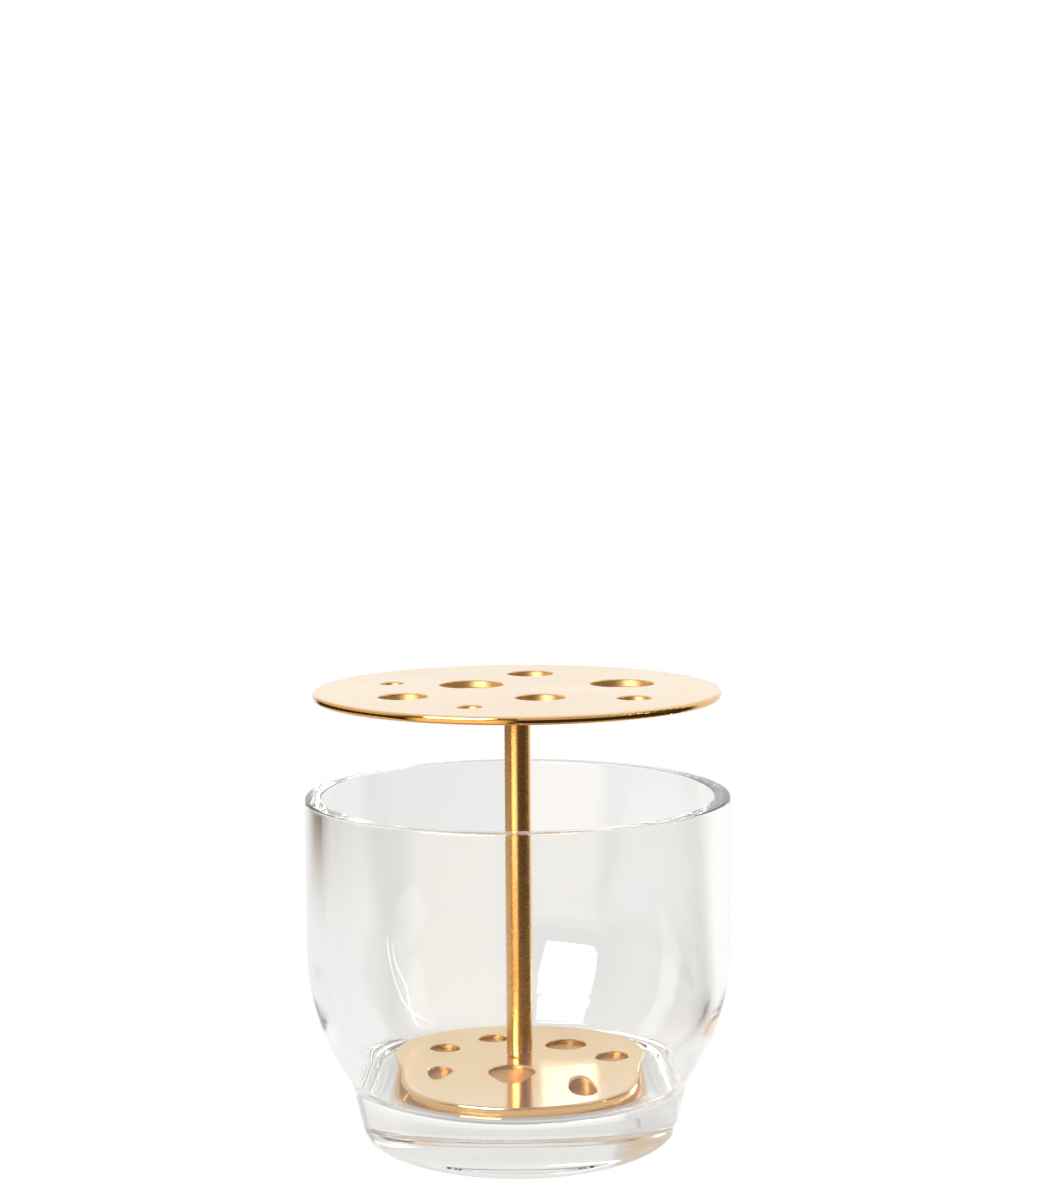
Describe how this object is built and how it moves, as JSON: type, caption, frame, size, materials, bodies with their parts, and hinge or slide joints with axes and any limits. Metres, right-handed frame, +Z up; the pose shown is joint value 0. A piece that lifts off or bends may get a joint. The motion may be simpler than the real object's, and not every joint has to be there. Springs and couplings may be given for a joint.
{
  "type": "flower frog",
  "caption": "Clear round glass vessel with a loose brass flower holder: a wide pierced disc above the rim, a slim stem and a small pierced disc on the glass floor.",
  "frame": {"origin": "middle of the underside of the glass foot", "axes": "+Z up along the stem, +X to the right and -Y towards the viewer as the object is usually pictured"},
  "size_m": [0.13, 0.13, 0.137],
  "materials": {
    "clear_glass": "clear polished, fire-polished rim",
    "brushed_brass": "fine brushed, clear",
    "satin_brass_rod": "satin, with the grain running round the rod",
    "stainless_steel": "plain machined"
  },
  "bodies": {
    "vessel": {"glass_vessel": "clear_glass"},
    "carrier": {"base_screw": "stainless_steel"},
    "insert": {"lower_plate": "brushed_brass", "stem_rod": "satin_brass_rod", "top_stud": "satin_brass_rod", "upper_plate": "brushed_brass"}
  },
  "joints": [
    {"name": "insert_lift", "type": "slide", "parent": "vessel", "child": "carrier", "axis": [0, 0, 1], "range_m": [0, 0.1]},
    {"name": "insert_turn", "type": "hinge", "parent": "carrier", "child": "insert", "pos_m": [0, 0, 0.0179], "axis": [0, 0, 1], "continuous": true}
  ]
}
